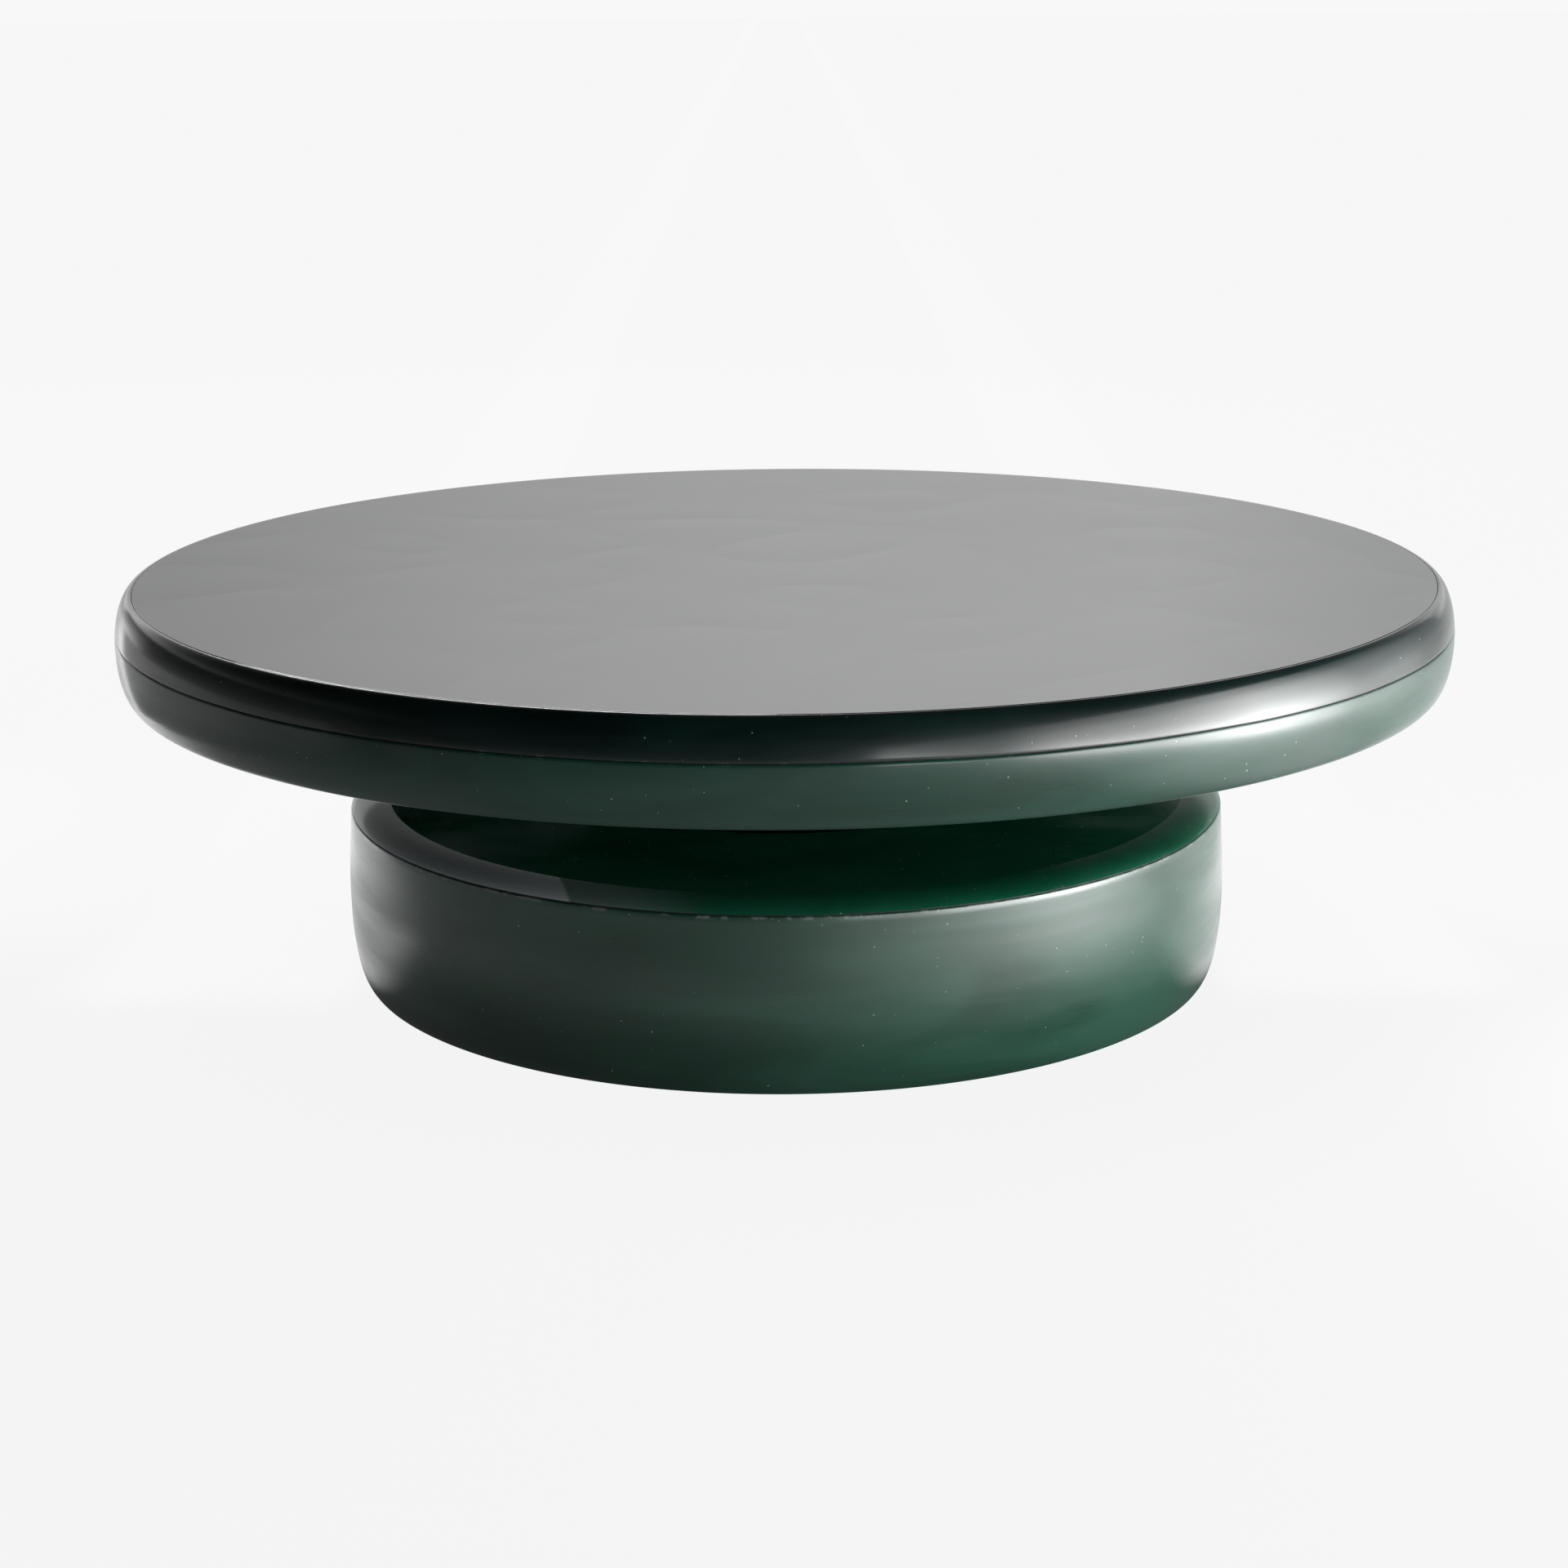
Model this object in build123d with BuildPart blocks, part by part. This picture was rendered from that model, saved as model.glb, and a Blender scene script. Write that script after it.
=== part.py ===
from build123d import *

import os
from math import asin, degrees, sqrt

# Low round coffee table: a drum base, a set-back neck and a thick top with a moulded rim.
# Millimetres, +Z up, floor at z = 0, the table's axis on Z.

# ---------------------------------------------------------------- driving dimensions
table_radius = 500.0
top_z = 308.0
underside_z = 236.0
base_top_z = 140.0
base_bottom_z = 4.0

# top slab
rim_middle_z = 272.0
rim_half_height = 36.0
rim_upper_bulge = 13.5
rim_lower_bulge = 11.0
flat_radius = table_radius - rim_upper_bulge
rim_inner_radius = 474.0
disc_thickness = 8.0
seam_z = 280.0
seam_gap = 0.8
panel_thickness = 18.0
panel_gap = 0.2
edge_round = 0.8

# loose tongue in the rim's glued joint
tongue_inner = 484.0
tongue_width = 4.0
tongue_depth = 8.0
tongue_clearance = 0.1

# ribs and hub inside the top
hub_radius = 160.0
top_rib_count = 8
top_rib_thickness = 12.0

# neck and the bolts that run right through it
neck_radius = 150.0
neck_sleeve_thickness = 2.0
bolt_count = 6
bolt_circle = 110.0
bolt_radius = 4.0
bolt_clearance_radius = 4.5
bolt_length = 160.0
bolt_head_across_flats = 13.0
bolt_head_height = 5.3
washer_radius = 8.0
washer_thickness = 1.6
insert_radius = 6.0
insert_bore_radius = 4.05
insert_length = 18.0

# drum base: cap, wall and what is inside
cap_flat_radius = 304.0
cap_shoulder_reach = 29.8
cap_shoulder_drop = 9.0
cap_seam_z = 133.0
wall_top_radius = 333.4
wall_thickness = 6.0
wall_points = [(335.4, 98.0), (336.2, 68.0), (334.9, 37.6), (332.3, 20.0), (329.3, 9.1), (326.5, 4.0)]
base_panel_radius = 327.2
floor_panel_radius = 322.0
floor_panel_z = 9.0
access_hole_width = 184.0
base_rib_count = 6
base_rib_inner = 150.0
base_rib_outer = 322.0

# foot ring, access cover and their screws
foot_ring_inner = 298.0
foot_ring_outer = 320.3
cover_radius = 139.0
cover_thickness = 4.0
screw_radius = 2.0
screw_head_radius = 4.0
screw_length = 14.0
screw_socket_across_flats = 2.5
screw_socket_depth = 1.4
cover_screw_circle = 134.5
cover_screw_count = 6
ring_screw_circle = 310.0
ring_screw_count = 12

# levelling feet
foot_count = 4
foot_circle = 268.0
pad_radius = 22.0
pad_height = 5.0
pad_recess_radius = 5.05
pad_recess_floor = 1.5
stem_pivot_radius = 5.0
stem_hex_height = 3.8
stem_length = 36.0

# ---------------------------------------------------------------- derived heights
disc_bottom_z = top_z - disc_thickness
core_bottom_z = disc_bottom_z - panel_thickness
under_panel_top_z = underside_z + panel_thickness
seam_top_z = seam_z + seam_gap / 2
seam_bottom_z = seam_z - seam_gap / 2
cap_bottom_z = cap_seam_z - seam_gap / 2
cap_seam_top_z = cap_seam_z + seam_gap / 2
base_panel_bottom_z = cap_bottom_z - panel_thickness
floor_panel_top_z = floor_panel_z + panel_thickness
washer_z = base_panel_bottom_z - washer_thickness
inner_panel_radius = rim_inner_radius - panel_gap


def rim_angle(height):
    """Where on the rim's ellipse a height above its middle lies, in degrees."""
    return degrees(asin(height / rim_half_height))


def upper_rim_radius(z):
    """The rim's outer radius at a height above its middle."""
    rise = (z - rim_middle_z) / rim_half_height
    return flat_radius + rim_upper_bulge * sqrt(1 - rise * rise)


# ================================================================ the top
# flat disc let into the rim
with BuildPart() as top_disc:
    with BuildSketch(Plane.XY.offset(disc_bottom_z)):
        Circle(flat_radius - panel_gap)
    extrude(amount=disc_thickness)
    chamfer(top_disc.edges().group_by(Axis.Z)[-1], 0.3)

# upper half of the moulded rim, with a ledge for the disc and a groove for the tongue
with BuildPart() as rim_upper:
    with BuildSketch(Plane.XZ) as rim_upper_profile:
        with BuildLine():
            bulge = EllipticalCenterArc(
                (flat_radius, rim_middle_z),
                rim_upper_bulge,
                rim_half_height,
                start_angle=rim_angle(seam_top_z - rim_middle_z),
                arc_size=90 - rim_angle(seam_top_z - rim_middle_z),
            )
            Polyline(
                bulge @ 1,
                (flat_radius, disc_bottom_z),
                (rim_inner_radius, disc_bottom_z),
                (rim_inner_radius, seam_top_z),
                bulge @ 0,
            )
        make_face()
        fillet(rim_upper_profile.vertices().group_by(Axis.Y)[0].sort_by(Axis.X)[-1], edge_round)
    revolve(axis=Axis.Z)
    with BuildSketch(Plane.XY.offset(seam_top_z)):
        Circle(tongue_inner + tongue_width + tongue_clearance)
        Circle(tongue_inner, mode=Mode.SUBTRACT)
    extrude(amount=tongue_depth, mode=Mode.SUBTRACT)

# lower half of the rim, down to the underside
with BuildPart() as rim_lower:
    with BuildSketch(Plane.XZ) as rim_lower_profile:
        with BuildLine():
            shoulder = EllipticalCenterArc(
                (flat_radius, rim_middle_z),
                rim_upper_bulge,
                rim_half_height,
                start_angle=0,
                arc_size=rim_angle(seam_bottom_z - rim_middle_z),
            )
            belly = EllipticalCenterArc(
                (table_radius - rim_lower_bulge, rim_middle_z),
                rim_lower_bulge,
                rim_half_height,
                start_angle=270,
                arc_size=90,
            )
            Polyline(
                shoulder @ 1,
                (rim_inner_radius, seam_bottom_z),
                (rim_inner_radius, underside_z),
                belly @ 0,
            )
        make_face()
        fillet(rim_lower_profile.vertices().group_by(Axis.Y)[-1].sort_by(Axis.X)[-1], edge_round)
    revolve(axis=Axis.Z)
    with BuildSketch(Plane.XY.offset(seam_bottom_z)):
        Circle(tongue_inner + tongue_width + tongue_clearance)
        Circle(tongue_inner, mode=Mode.SUBTRACT)
    extrude(amount=-tongue_depth, mode=Mode.SUBTRACT)

# glue bead set back in the rim's joint
with BuildPart() as rim_seam_bead:
    with BuildSketch(Plane.XY.offset(seam_bottom_z)):
        Circle(upper_rim_radius(seam_z) - 1.2)
        Circle(tongue_inner + tongue_width + 1, mode=Mode.SUBTRACT)
    extrude(amount=seam_gap)

# loose tongue that keys the two halves together
with BuildPart() as rim_tongue:
    with BuildSketch(Plane.XY.offset(seam_bottom_z - tongue_depth + panel_gap)):
        Circle(tongue_inner + tongue_width)
        Circle(tongue_inner + tongue_clearance, mode=Mode.SUBTRACT)
    extrude(amount=2 * (tongue_depth - panel_gap) + seam_gap)

# panel glued under the disc
with BuildPart() as core_panel:
    with BuildSketch(Plane.XY.offset(core_bottom_z)):
        Circle(inner_panel_radius)
    extrude(amount=panel_thickness)

# panel that closes the underside
with BuildPart() as under_panel:
    with BuildSketch(Plane.XY.offset(underside_z)):
        Circle(inner_panel_radius)
        with PolarLocations(bolt_circle, bolt_count):
            Circle(bolt_clearance_radius, mode=Mode.SUBTRACT)
    extrude(amount=panel_thickness)

# block that the bolts pull on
with BuildPart() as hub_block:
    with BuildSketch(Plane.XY.offset(under_panel_top_z)):
        Circle(hub_radius)
        with PolarLocations(bolt_circle, bolt_count):
            Circle(insert_radius, mode=Mode.SUBTRACT)
    extrude(until=Until.NEXT, target=core_panel.part)

# ribs between the two panels, from the hub to the rim
with BuildPart() as top_ribs:
    with BuildSketch(Plane.XY.offset(under_panel_top_z)):
        with PolarLocations((hub_radius + inner_panel_radius) / 2, top_rib_count):
            Rectangle(inner_panel_radius - hub_radius - 2, top_rib_thickness)
    extrude(until=Until.NEXT, target=core_panel.part)

# threaded inserts in the hub
with BuildPart() as hub_inserts:
    with BuildSketch(Plane.XY.offset(under_panel_top_z)):
        with PolarLocations(bolt_circle, bolt_count):
            Circle(insert_radius)
            Circle(insert_bore_radius, mode=Mode.SUBTRACT)
    extrude(amount=insert_length)

# ================================================================ the neck
with BuildPart() as neck_block:
    with BuildSketch(Plane.XY.offset(base_top_z)):
        Circle(neck_radius)
        with PolarLocations(bolt_circle, bolt_count):
            Circle(bolt_clearance_radius, mode=Mode.SUBTRACT)
    extrude(amount=underside_z - base_top_z)

# thin dark sleeve round the block
with BuildPart() as neck_sleeve:
    with BuildSketch(Plane.XY.offset(base_top_z + panel_gap)):
        Circle(neck_radius + neck_sleeve_thickness)
        Circle(neck_radius + panel_gap, mode=Mode.SUBTRACT)
    extrude(amount=underside_z - base_top_z - 2 * panel_gap)

# long bolts, heads up inside the base
with BuildPart() as through_bolts:
    with BuildSketch(Plane.XY.offset(washer_z)):
        with PolarLocations(bolt_circle, bolt_count):
            RegularPolygon(bolt_head_across_flats / 2, 6, major_radius=False)
    extrude(amount=-bolt_head_height)
    chamfer(through_bolts.edges().group_by(Axis.Z)[0], 0.4)
    with BuildSketch(Plane.XY.offset(washer_z)):
        with PolarLocations(bolt_circle, bolt_count):
            Circle(bolt_radius)
    extrude(amount=bolt_length)
    chamfer(through_bolts.edges().group_by(Axis.Z)[-1], 0.8)

with BuildPart() as bolt_washers:
    with BuildSketch(Plane.XY.offset(washer_z)):
        with PolarLocations(bolt_circle, bolt_count):
            Circle(washer_radius)
            Circle(bolt_clearance_radius - 0.3, mode=Mode.SUBTRACT)
    extrude(amount=washer_thickness)

# ================================================================ the drum base
# cap with a flat middle and a rounded shoulder
with BuildPart() as base_cap:
    with BuildSketch(Plane.XZ):
        with BuildLine():
            rise = (cap_seam_top_z - base_top_z + cap_shoulder_drop) / cap_shoulder_drop
            shoulder_arc = EllipticalCenterArc(
                (cap_flat_radius, base_top_z - cap_shoulder_drop),
                cap_shoulder_reach,
                cap_shoulder_drop,
                start_angle=degrees(asin(rise)),
                arc_size=90 - degrees(asin(rise)),
            )
            rebate_radius = (shoulder_arc @ 0).X - 1.2
            Polyline(
                shoulder_arc @ 1,
                (0, base_top_z),
                (0, cap_bottom_z),
                (rebate_radius, cap_bottom_z),
                (rebate_radius, cap_seam_top_z),
                shoulder_arc @ 0,
            )
        make_face()
    revolve(axis=Axis.Z)
    with BuildSketch(Plane.XY.offset(cap_bottom_z)):
        with PolarLocations(bolt_circle, bolt_count):
            Circle(bolt_clearance_radius)
    extrude(amount=base_top_z - cap_bottom_z, mode=Mode.SUBTRACT)

# bead in the cap's rebate
with BuildPart() as base_seam_bead:
    with BuildSketch(Plane.XY.offset(cap_bottom_z)):
        Circle(rebate_radius + 0.6)
        Circle(rebate_radius, mode=Mode.SUBTRACT)
    extrude(amount=seam_gap)

# barrelled wall, 6 mm thick
with BuildPart() as base_wall:
    with BuildSketch(Plane.XZ) as wall_profile:
        with BuildLine():
            outer = Spline([(wall_top_radius, cap_bottom_z)] + wall_points)
            inner = Spline([(x - wall_thickness, z) for x, z in [(wall_top_radius, cap_bottom_z)] + wall_points])
            Line(outer @ 0, inner @ 0)
            Line(outer @ 1, inner @ 1)
        make_face()
        fillet(wall_profile.vertices().group_by(Axis.Y)[-1].sort_by(Axis.X)[-1], edge_round)
    revolve(axis=Axis.Z)

# panel under the cap, which the neck bolts clamp
with BuildPart() as base_panel:
    with BuildSketch(Plane.XY.offset(base_panel_bottom_z)):
        Circle(base_panel_radius)
        with PolarLocations(bolt_circle, bolt_count):
            Circle(bolt_clearance_radius, mode=Mode.SUBTRACT)
    extrude(amount=panel_thickness)

# bottom panel, with the access hole, the feet's inserts and pilot holes for the screws
with BuildPart() as floor_panel:
    with BuildSketch(Plane.XY.offset(floor_panel_z)):
        Circle(floor_panel_radius)
        Rectangle(access_hole_width, access_hole_width, mode=Mode.SUBTRACT)
        with PolarLocations(foot_circle, foot_count, start_angle=45):
            Circle(insert_radius, mode=Mode.SUBTRACT)
    extrude(amount=panel_thickness)
    with BuildSketch(Plane.XY.offset(floor_panel_z)):
        with PolarLocations(cover_screw_circle, cover_screw_count):
            Circle(screw_radius + 0.05)
        with PolarLocations(ring_screw_circle, ring_screw_count, start_angle=15):
            Circle(screw_radius + 0.05)
    extrude(amount=screw_length - cover_thickness + 1, mode=Mode.SUBTRACT)

# upright ribs between the two base panels
with BuildPart() as base_ribs:
    with BuildSketch(Plane.XY.offset(floor_panel_top_z)):
        with PolarLocations((base_rib_inner + base_rib_outer) / 2, base_rib_count):
            Rectangle(base_rib_outer - base_rib_inner, panel_thickness)
    extrude(amount=base_panel_bottom_z - floor_panel_top_z)

# ring that ties the wall's foot to the bottom panel
with BuildPart() as foot_ring:
    with BuildSketch(Plane.XY.offset(base_bottom_z)):
        Circle(foot_ring_outer)
        Circle(foot_ring_inner, mode=Mode.SUBTRACT)
    extrude(amount=floor_panel_z - base_bottom_z)
    with Locations(Plane.XY.offset(base_bottom_z).reverse()):
        with PolarLocations(ring_screw_circle, ring_screw_count, start_angle=15):
            CounterSinkHole(screw_radius + 0.2, screw_head_radius + 0.1, counter_sink_angle=90)

# cover over the access hole
with BuildPart() as access_cover:
    with BuildSketch(Plane.XY.offset(floor_panel_z - cover_thickness)):
        Circle(cover_radius)
    extrude(amount=cover_thickness)
    with Locations(Plane.XY.offset(floor_panel_z - cover_thickness).reverse()):
        with PolarLocations(cover_screw_circle, cover_screw_count):
            CounterSinkHole(screw_radius + 0.2, screw_head_radius + 0.1, counter_sink_angle=90)


# countersunk screws with a hex socket, heads flush underneath
standing = (Align.CENTER, Align.CENTER, Align.MIN)
head_height = screw_head_radius - screw_radius

with BuildPart() as cover_screws:
    with Locations((0, 0, floor_panel_z - cover_thickness)):
        with PolarLocations(cover_screw_circle, cover_screw_count):
            Cone(screw_head_radius, screw_radius, head_height, align=standing)
            Cylinder(screw_radius, screw_length, align=standing)
    with BuildSketch(Plane.XY.offset(floor_panel_z - cover_thickness)):
        with PolarLocations(cover_screw_circle, cover_screw_count):
            RegularPolygon(screw_socket_across_flats / 2, 6, major_radius=False)
    extrude(amount=screw_socket_depth, mode=Mode.SUBTRACT)

with BuildPart() as ring_screws:
    with Locations((0, 0, base_bottom_z)):
        with PolarLocations(ring_screw_circle, ring_screw_count, start_angle=15):
            Cone(screw_head_radius, screw_radius, head_height, align=standing)
            Cylinder(screw_radius, screw_length, align=standing)
    with BuildSketch(Plane.XY.offset(base_bottom_z)):
        with PolarLocations(ring_screw_circle, ring_screw_count, start_angle=15):
            RegularPolygon(screw_socket_across_flats / 2, 6, major_radius=False)
    extrude(amount=screw_socket_depth, mode=Mode.SUBTRACT)

# ================================================================ the levelling feet
with BuildPart() as foot_inserts:
    with BuildSketch(Plane.XY.offset(floor_panel_z)):
        with PolarLocations(foot_circle, foot_count, start_angle=45):
            Circle(insert_radius)
            Circle(insert_bore_radius, mode=Mode.SUBTRACT)
    extrude(amount=insert_length)

pads = []
stems = []
for place in PolarLocations(foot_circle, foot_count, start_angle=45).locations:
    with BuildPart() as pad:
        with BuildSketch(Plane(place)):
            Circle(pad_radius)
        extrude(amount=pad_height)
        chamfer(pad.edges().group_by(Axis.Z)[0], 0.8)
        fillet(pad.edges().group_by(Axis.Z)[-1], 1.2)
        with BuildSketch(Plane(place).offset(pad_recess_floor)):
            Circle(pad_recess_radius)
        extrude(amount=pad_height - pad_recess_floor, mode=Mode.SUBTRACT)
    pads.append(pad)

    with BuildPart() as stem:
        with BuildSketch(Plane(place).offset(pad_recess_floor)):
            Circle(stem_pivot_radius)
        extrude(amount=pad_height - pad_recess_floor)
        with BuildSketch(Plane(place).offset(pad_height)):
            RegularPolygon(bolt_head_across_flats / 2, 6, major_radius=False)
        extrude(amount=stem_hex_height)
        with BuildSketch(Plane(place).offset(pad_height + stem_hex_height)):
            Circle(bolt_radius)
        extrude(amount=stem_length)
        chamfer(stem.edges().group_by(Axis.Z)[-1], 0.8)
    stems.append(stem)

# ---------------------------------------------------------------- labels and files
pieces = {
    "top_disc": top_disc,
    "rim_upper": rim_upper,
    "rim_lower": rim_lower,
    "rim_seam_bead": rim_seam_bead,
    "rim_tongue": rim_tongue,
    "core_panel": core_panel,
    "under_panel": under_panel,
    "hub_block": hub_block,
    "top_ribs": top_ribs,
    "hub_inserts": hub_inserts,
    "neck_block": neck_block,
    "neck_sleeve": neck_sleeve,
    "through_bolts": through_bolts,
    "bolt_washers": bolt_washers,
    "base_cap": base_cap,
    "base_seam_bead": base_seam_bead,
    "base_wall": base_wall,
    "base_panel": base_panel,
    "floor_panel": floor_panel,
    "base_ribs": base_ribs,
    "foot_ring": foot_ring,
    "ring_screws": ring_screws,
    "access_cover": access_cover,
    "cover_screws": cover_screws,
    "foot_inserts": foot_inserts,
}
for number, (pad, stem) in enumerate(zip(pads, stems), start=1):
    pieces[f"foot_pad_{number}"] = pad
    pieces[f"foot_stem_{number}"] = stem

os.makedirs("parts", exist_ok=True)
for name, piece in pieces.items():
    piece.part.label = name
    export_step(piece.part, f"parts/{name}.step")
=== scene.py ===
import math

import bpy
from mathutils import Matrix, Vector


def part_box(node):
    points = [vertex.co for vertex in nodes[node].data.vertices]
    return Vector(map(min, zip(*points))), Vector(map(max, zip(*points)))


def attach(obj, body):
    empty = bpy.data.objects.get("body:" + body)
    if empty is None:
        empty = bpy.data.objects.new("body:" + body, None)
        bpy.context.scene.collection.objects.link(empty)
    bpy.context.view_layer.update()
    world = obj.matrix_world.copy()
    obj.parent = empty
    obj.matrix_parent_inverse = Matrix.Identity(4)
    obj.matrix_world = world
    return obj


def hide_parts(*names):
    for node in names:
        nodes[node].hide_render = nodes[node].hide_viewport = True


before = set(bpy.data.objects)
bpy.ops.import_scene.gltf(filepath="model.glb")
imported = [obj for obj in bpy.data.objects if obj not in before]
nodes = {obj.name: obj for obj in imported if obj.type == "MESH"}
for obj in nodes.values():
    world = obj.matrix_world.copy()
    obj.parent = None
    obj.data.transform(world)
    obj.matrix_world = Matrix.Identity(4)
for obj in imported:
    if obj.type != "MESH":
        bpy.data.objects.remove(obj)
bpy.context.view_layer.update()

MM = 0.001  # outlines are in millimetres, the scene is in metres
ROUND = 320  # sides of the large turned pieces
CRISP = 32  # degrees; edges that turn more than this stay crisp
WELD = 0.000002  # metres; points closer than this become one


# ------------------------------------------------------------ modelling by hand
def deselect():
    """Leaves object mode with nothing selected."""
    if bpy.context.object and bpy.context.object.mode != "OBJECT":
        bpy.ops.object.mode_set(mode="OBJECT")
    bpy.ops.object.select_all(action="DESELECT")


def place_in_mesh():
    """Moves the active object's place into its mesh."""
    bpy.ops.object.transform_apply(location=True, rotation=True, scale=True)


def start_ring(radius, height, sides=ROUND):
    """A circle of edges to pull a turned piece from, left in edit mode; sizes in mm."""
    deselect()
    bpy.ops.mesh.primitive_circle_add(
        vertices=sides, radius=radius * MM, fill_type="NOTHING", location=(0, 0, height * MM)
    )
    place_in_mesh()
    bpy.ops.object.mode_set(mode="EDIT")
    bpy.ops.mesh.select_mode(type="VERT")
    bpy.ops.mesh.select_all(action="SELECT")
    return radius, height


def pull_ring(here, radius, height):
    """Extrudes the selected ring to another radius and height."""
    bpy.ops.mesh.extrude_region_move(
        TRANSFORM_OT_translate={"value": (0, 0, (height - here[1]) * MM)}
    )
    if radius != here[0]:
        grow = radius / here[0]
        bpy.ops.transform.resize(value=(grow, grow, 1), center_override=(0, 0, height * MM))
    return radius, height


def fill_open_ends():
    """Puts a face in each open ring that is left."""
    bpy.ops.mesh.select_all(action="DESELECT")
    bpy.ops.mesh.select_mode(type="EDGE")
    bpy.ops.mesh.select_non_manifold(extend=False, use_boundary=True)
    bpy.ops.mesh.edge_face_add()


def turned_ring(outline):
    """A ring turned from a closed outline of (radius, height) in mm."""
    here = start_ring(*outline[0])
    for point in outline[1:]:
        here = pull_ring(here, *point)
    pull_ring(here, *outline[0])


def turned_solid(outline, sides=ROUND):
    """A solid turned from an outline that starts and ends near its axis."""
    here = start_ring(*outline[0], sides=sides)
    for point in outline[1:]:
        here = pull_ring(here, *point)
    fill_open_ends()


def finish_piece(name, body, replaced):
    """Closes up the active object, names it and rides it on its body."""
    if bpy.context.object.mode != "EDIT":
        bpy.ops.object.mode_set(mode="EDIT")
    bpy.ops.mesh.select_all(action="SELECT")
    bpy.ops.mesh.remove_doubles(threshold=WELD)
    bpy.ops.mesh.normals_make_consistent(inside=False)
    bpy.ops.object.mode_set(mode="OBJECT")
    piece = bpy.context.object
    piece.name = name
    bpy.ops.object.shade_smooth_by_angle(angle=math.radians(CRISP))
    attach(piece, body)
    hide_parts(*replaced)
    return piece


def ellipse(centre, across, up, start, end, steps):
    """Points of an elliptical arc in a turned piece's outline, angles in degrees."""
    points = []
    for step in range(steps + 1):
        angle = math.radians(start + (end - start) * step / steps)
        points.append((centre[0] + across * math.cos(angle), centre[1] + up * math.sin(angle)))
    return points


def arc_angle(height, middle, up):
    """The angle in degrees at which an elliptical arc reaches a height."""
    return math.degrees(math.asin((height - middle) / up))


# ------------------------------------------------------------ the top
TOP = 308.0
DISC_UNDER = 300.0
FLAT = 486.5  # radius of the flat disc
RIM_MIDDLE = 272.0  # height at which the rim is widest
RIM_HALF = 36.0  # half of the rim's height
RIM_INSIDE = 474.0
SEAM = 280.0  # height of the joint round the rim
SEAM_TOP, SEAM_FOOT = 280.4, 279.6
LIP = 1.3  # the halves turn in to the joint from this far above and below it
TONGUE_IN, TONGUE_OUT = 484.0, 488.1
TONGUE_TOP, TONGUE_FOOT = 288.4, 271.6

WANDER = 0.35  # mm that the joint wanders up and down
WANDER_REACH = 8.0  # mm above and below the joint that move with it
WANDER_WAVES = ((0.55, 5, 0.4), (0.3, 13, 2.1), (0.15, 31, 1.2), (0.1, 57, 0.0))


def wander_seam():
    """Lets the hand-fitted joint wander a little, fading out over its reach."""
    bpy.ops.object.mode_set(mode="OBJECT")
    for vertex in bpy.context.object.data.vertices:
        near = 1 - abs(vertex.co.z / MM - SEAM) / WANDER_REACH
        if near > 0:
            turn = math.atan2(vertex.co.y, vertex.co.x)
            wave = sum(size * math.sin(times * turn + lag) for size, times, lag in WANDER_WAVES)
            vertex.co.z += WANDER * MM * wave * min(1, near * 1.6)


turned_solid(
    [(2, TOP), (60, TOP), (180, TOP), (320, TOP), (430, TOP), (484.6, TOP), (485.6, TOP)]
    + [(486.1, 307.8), (486.3, 307.3), (486.3, DISC_UNDER), (2, DISC_UNDER)]
)
tabletop = finish_piece("tabletop_disc", "table", ("top_disc",))

upper_start = arc_angle(SEAM + LIP, RIM_MIDDLE, RIM_HALF)
turned_ring(
    [(TONGUE_OUT, SEAM_TOP), (498.5, SEAM_TOP), (498.7, 280.2), (499.2, 280.22), (499.5, 280.6)]
    + ellipse((FLAT, RIM_MIDDLE), 13.5, RIM_HALF, upper_start, 86, 26)
    + [(486.62, 307.9), (FLAT, 307.6), (FLAT, DISC_UNDER), (RIM_INSIDE, DISC_UNDER)]
    + [(RIM_INSIDE, SEAM_TOP), (TONGUE_IN, SEAM_TOP)]
    + [(TONGUE_IN, TONGUE_TOP), (TONGUE_OUT, TONGUE_TOP)]
)
wander_seam()
rim_upper = finish_piece("rim_upper_half", "table", ("rim_upper",))

lower_start = arc_angle(SEAM - LIP, RIM_MIDDLE, RIM_HALF)
turned_ring(
    [(TONGUE_OUT, SEAM_FOOT), (498.5, SEAM_FOOT), (498.7, 279.8), (499.2, 279.78), (499.5, 279.4)]
    + ellipse((FLAT, RIM_MIDDLE), 13.5, RIM_HALF, lower_start, 2, 5)
    + ellipse((489.0, RIM_MIDDLE), 11, RIM_HALF, 0, -84, 26)
    + [(489.4, 236.05), (488.6, 236.0), (RIM_INSIDE, 236.0), (RIM_INSIDE, SEAM_FOOT)]
    + [(TONGUE_IN, SEAM_FOOT), (TONGUE_IN, TONGUE_FOOT), (TONGUE_OUT, TONGUE_FOOT)]
)
wander_seam()
rim_lower = finish_piece("rim_lower_half", "table", ("rim_lower",))

# ------------------------------------------------------------ the drum
CAP_TOP = 140.0
CAP_UNDER = 132.6
SHOULDER = 304.0  # radius at which the cap starts to turn down
SHOULDER_MIDDLE = 131.0
SHOULDER_DROP = 9.0

shoulder_end = arc_angle(133.6, SHOULDER_MIDDLE, SHOULDER_DROP)
turned_solid(
    [(2, CAP_TOP), (80, CAP_TOP), (152, CAP_TOP), (240, CAP_TOP), (300, CAP_TOP)]
    + ellipse((SHOULDER, SHOULDER_MIDDLE), 29.8, SHOULDER_DROP, 90, shoulder_end, 22)
    + [(332.2, 133.45), (331.7, 133.4), (331.0, 133.4), (331.0, CAP_UNDER), (2, CAP_UNDER)]
)
base_lid = finish_piece("drum_cap", "table", ("base_cap",))

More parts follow.
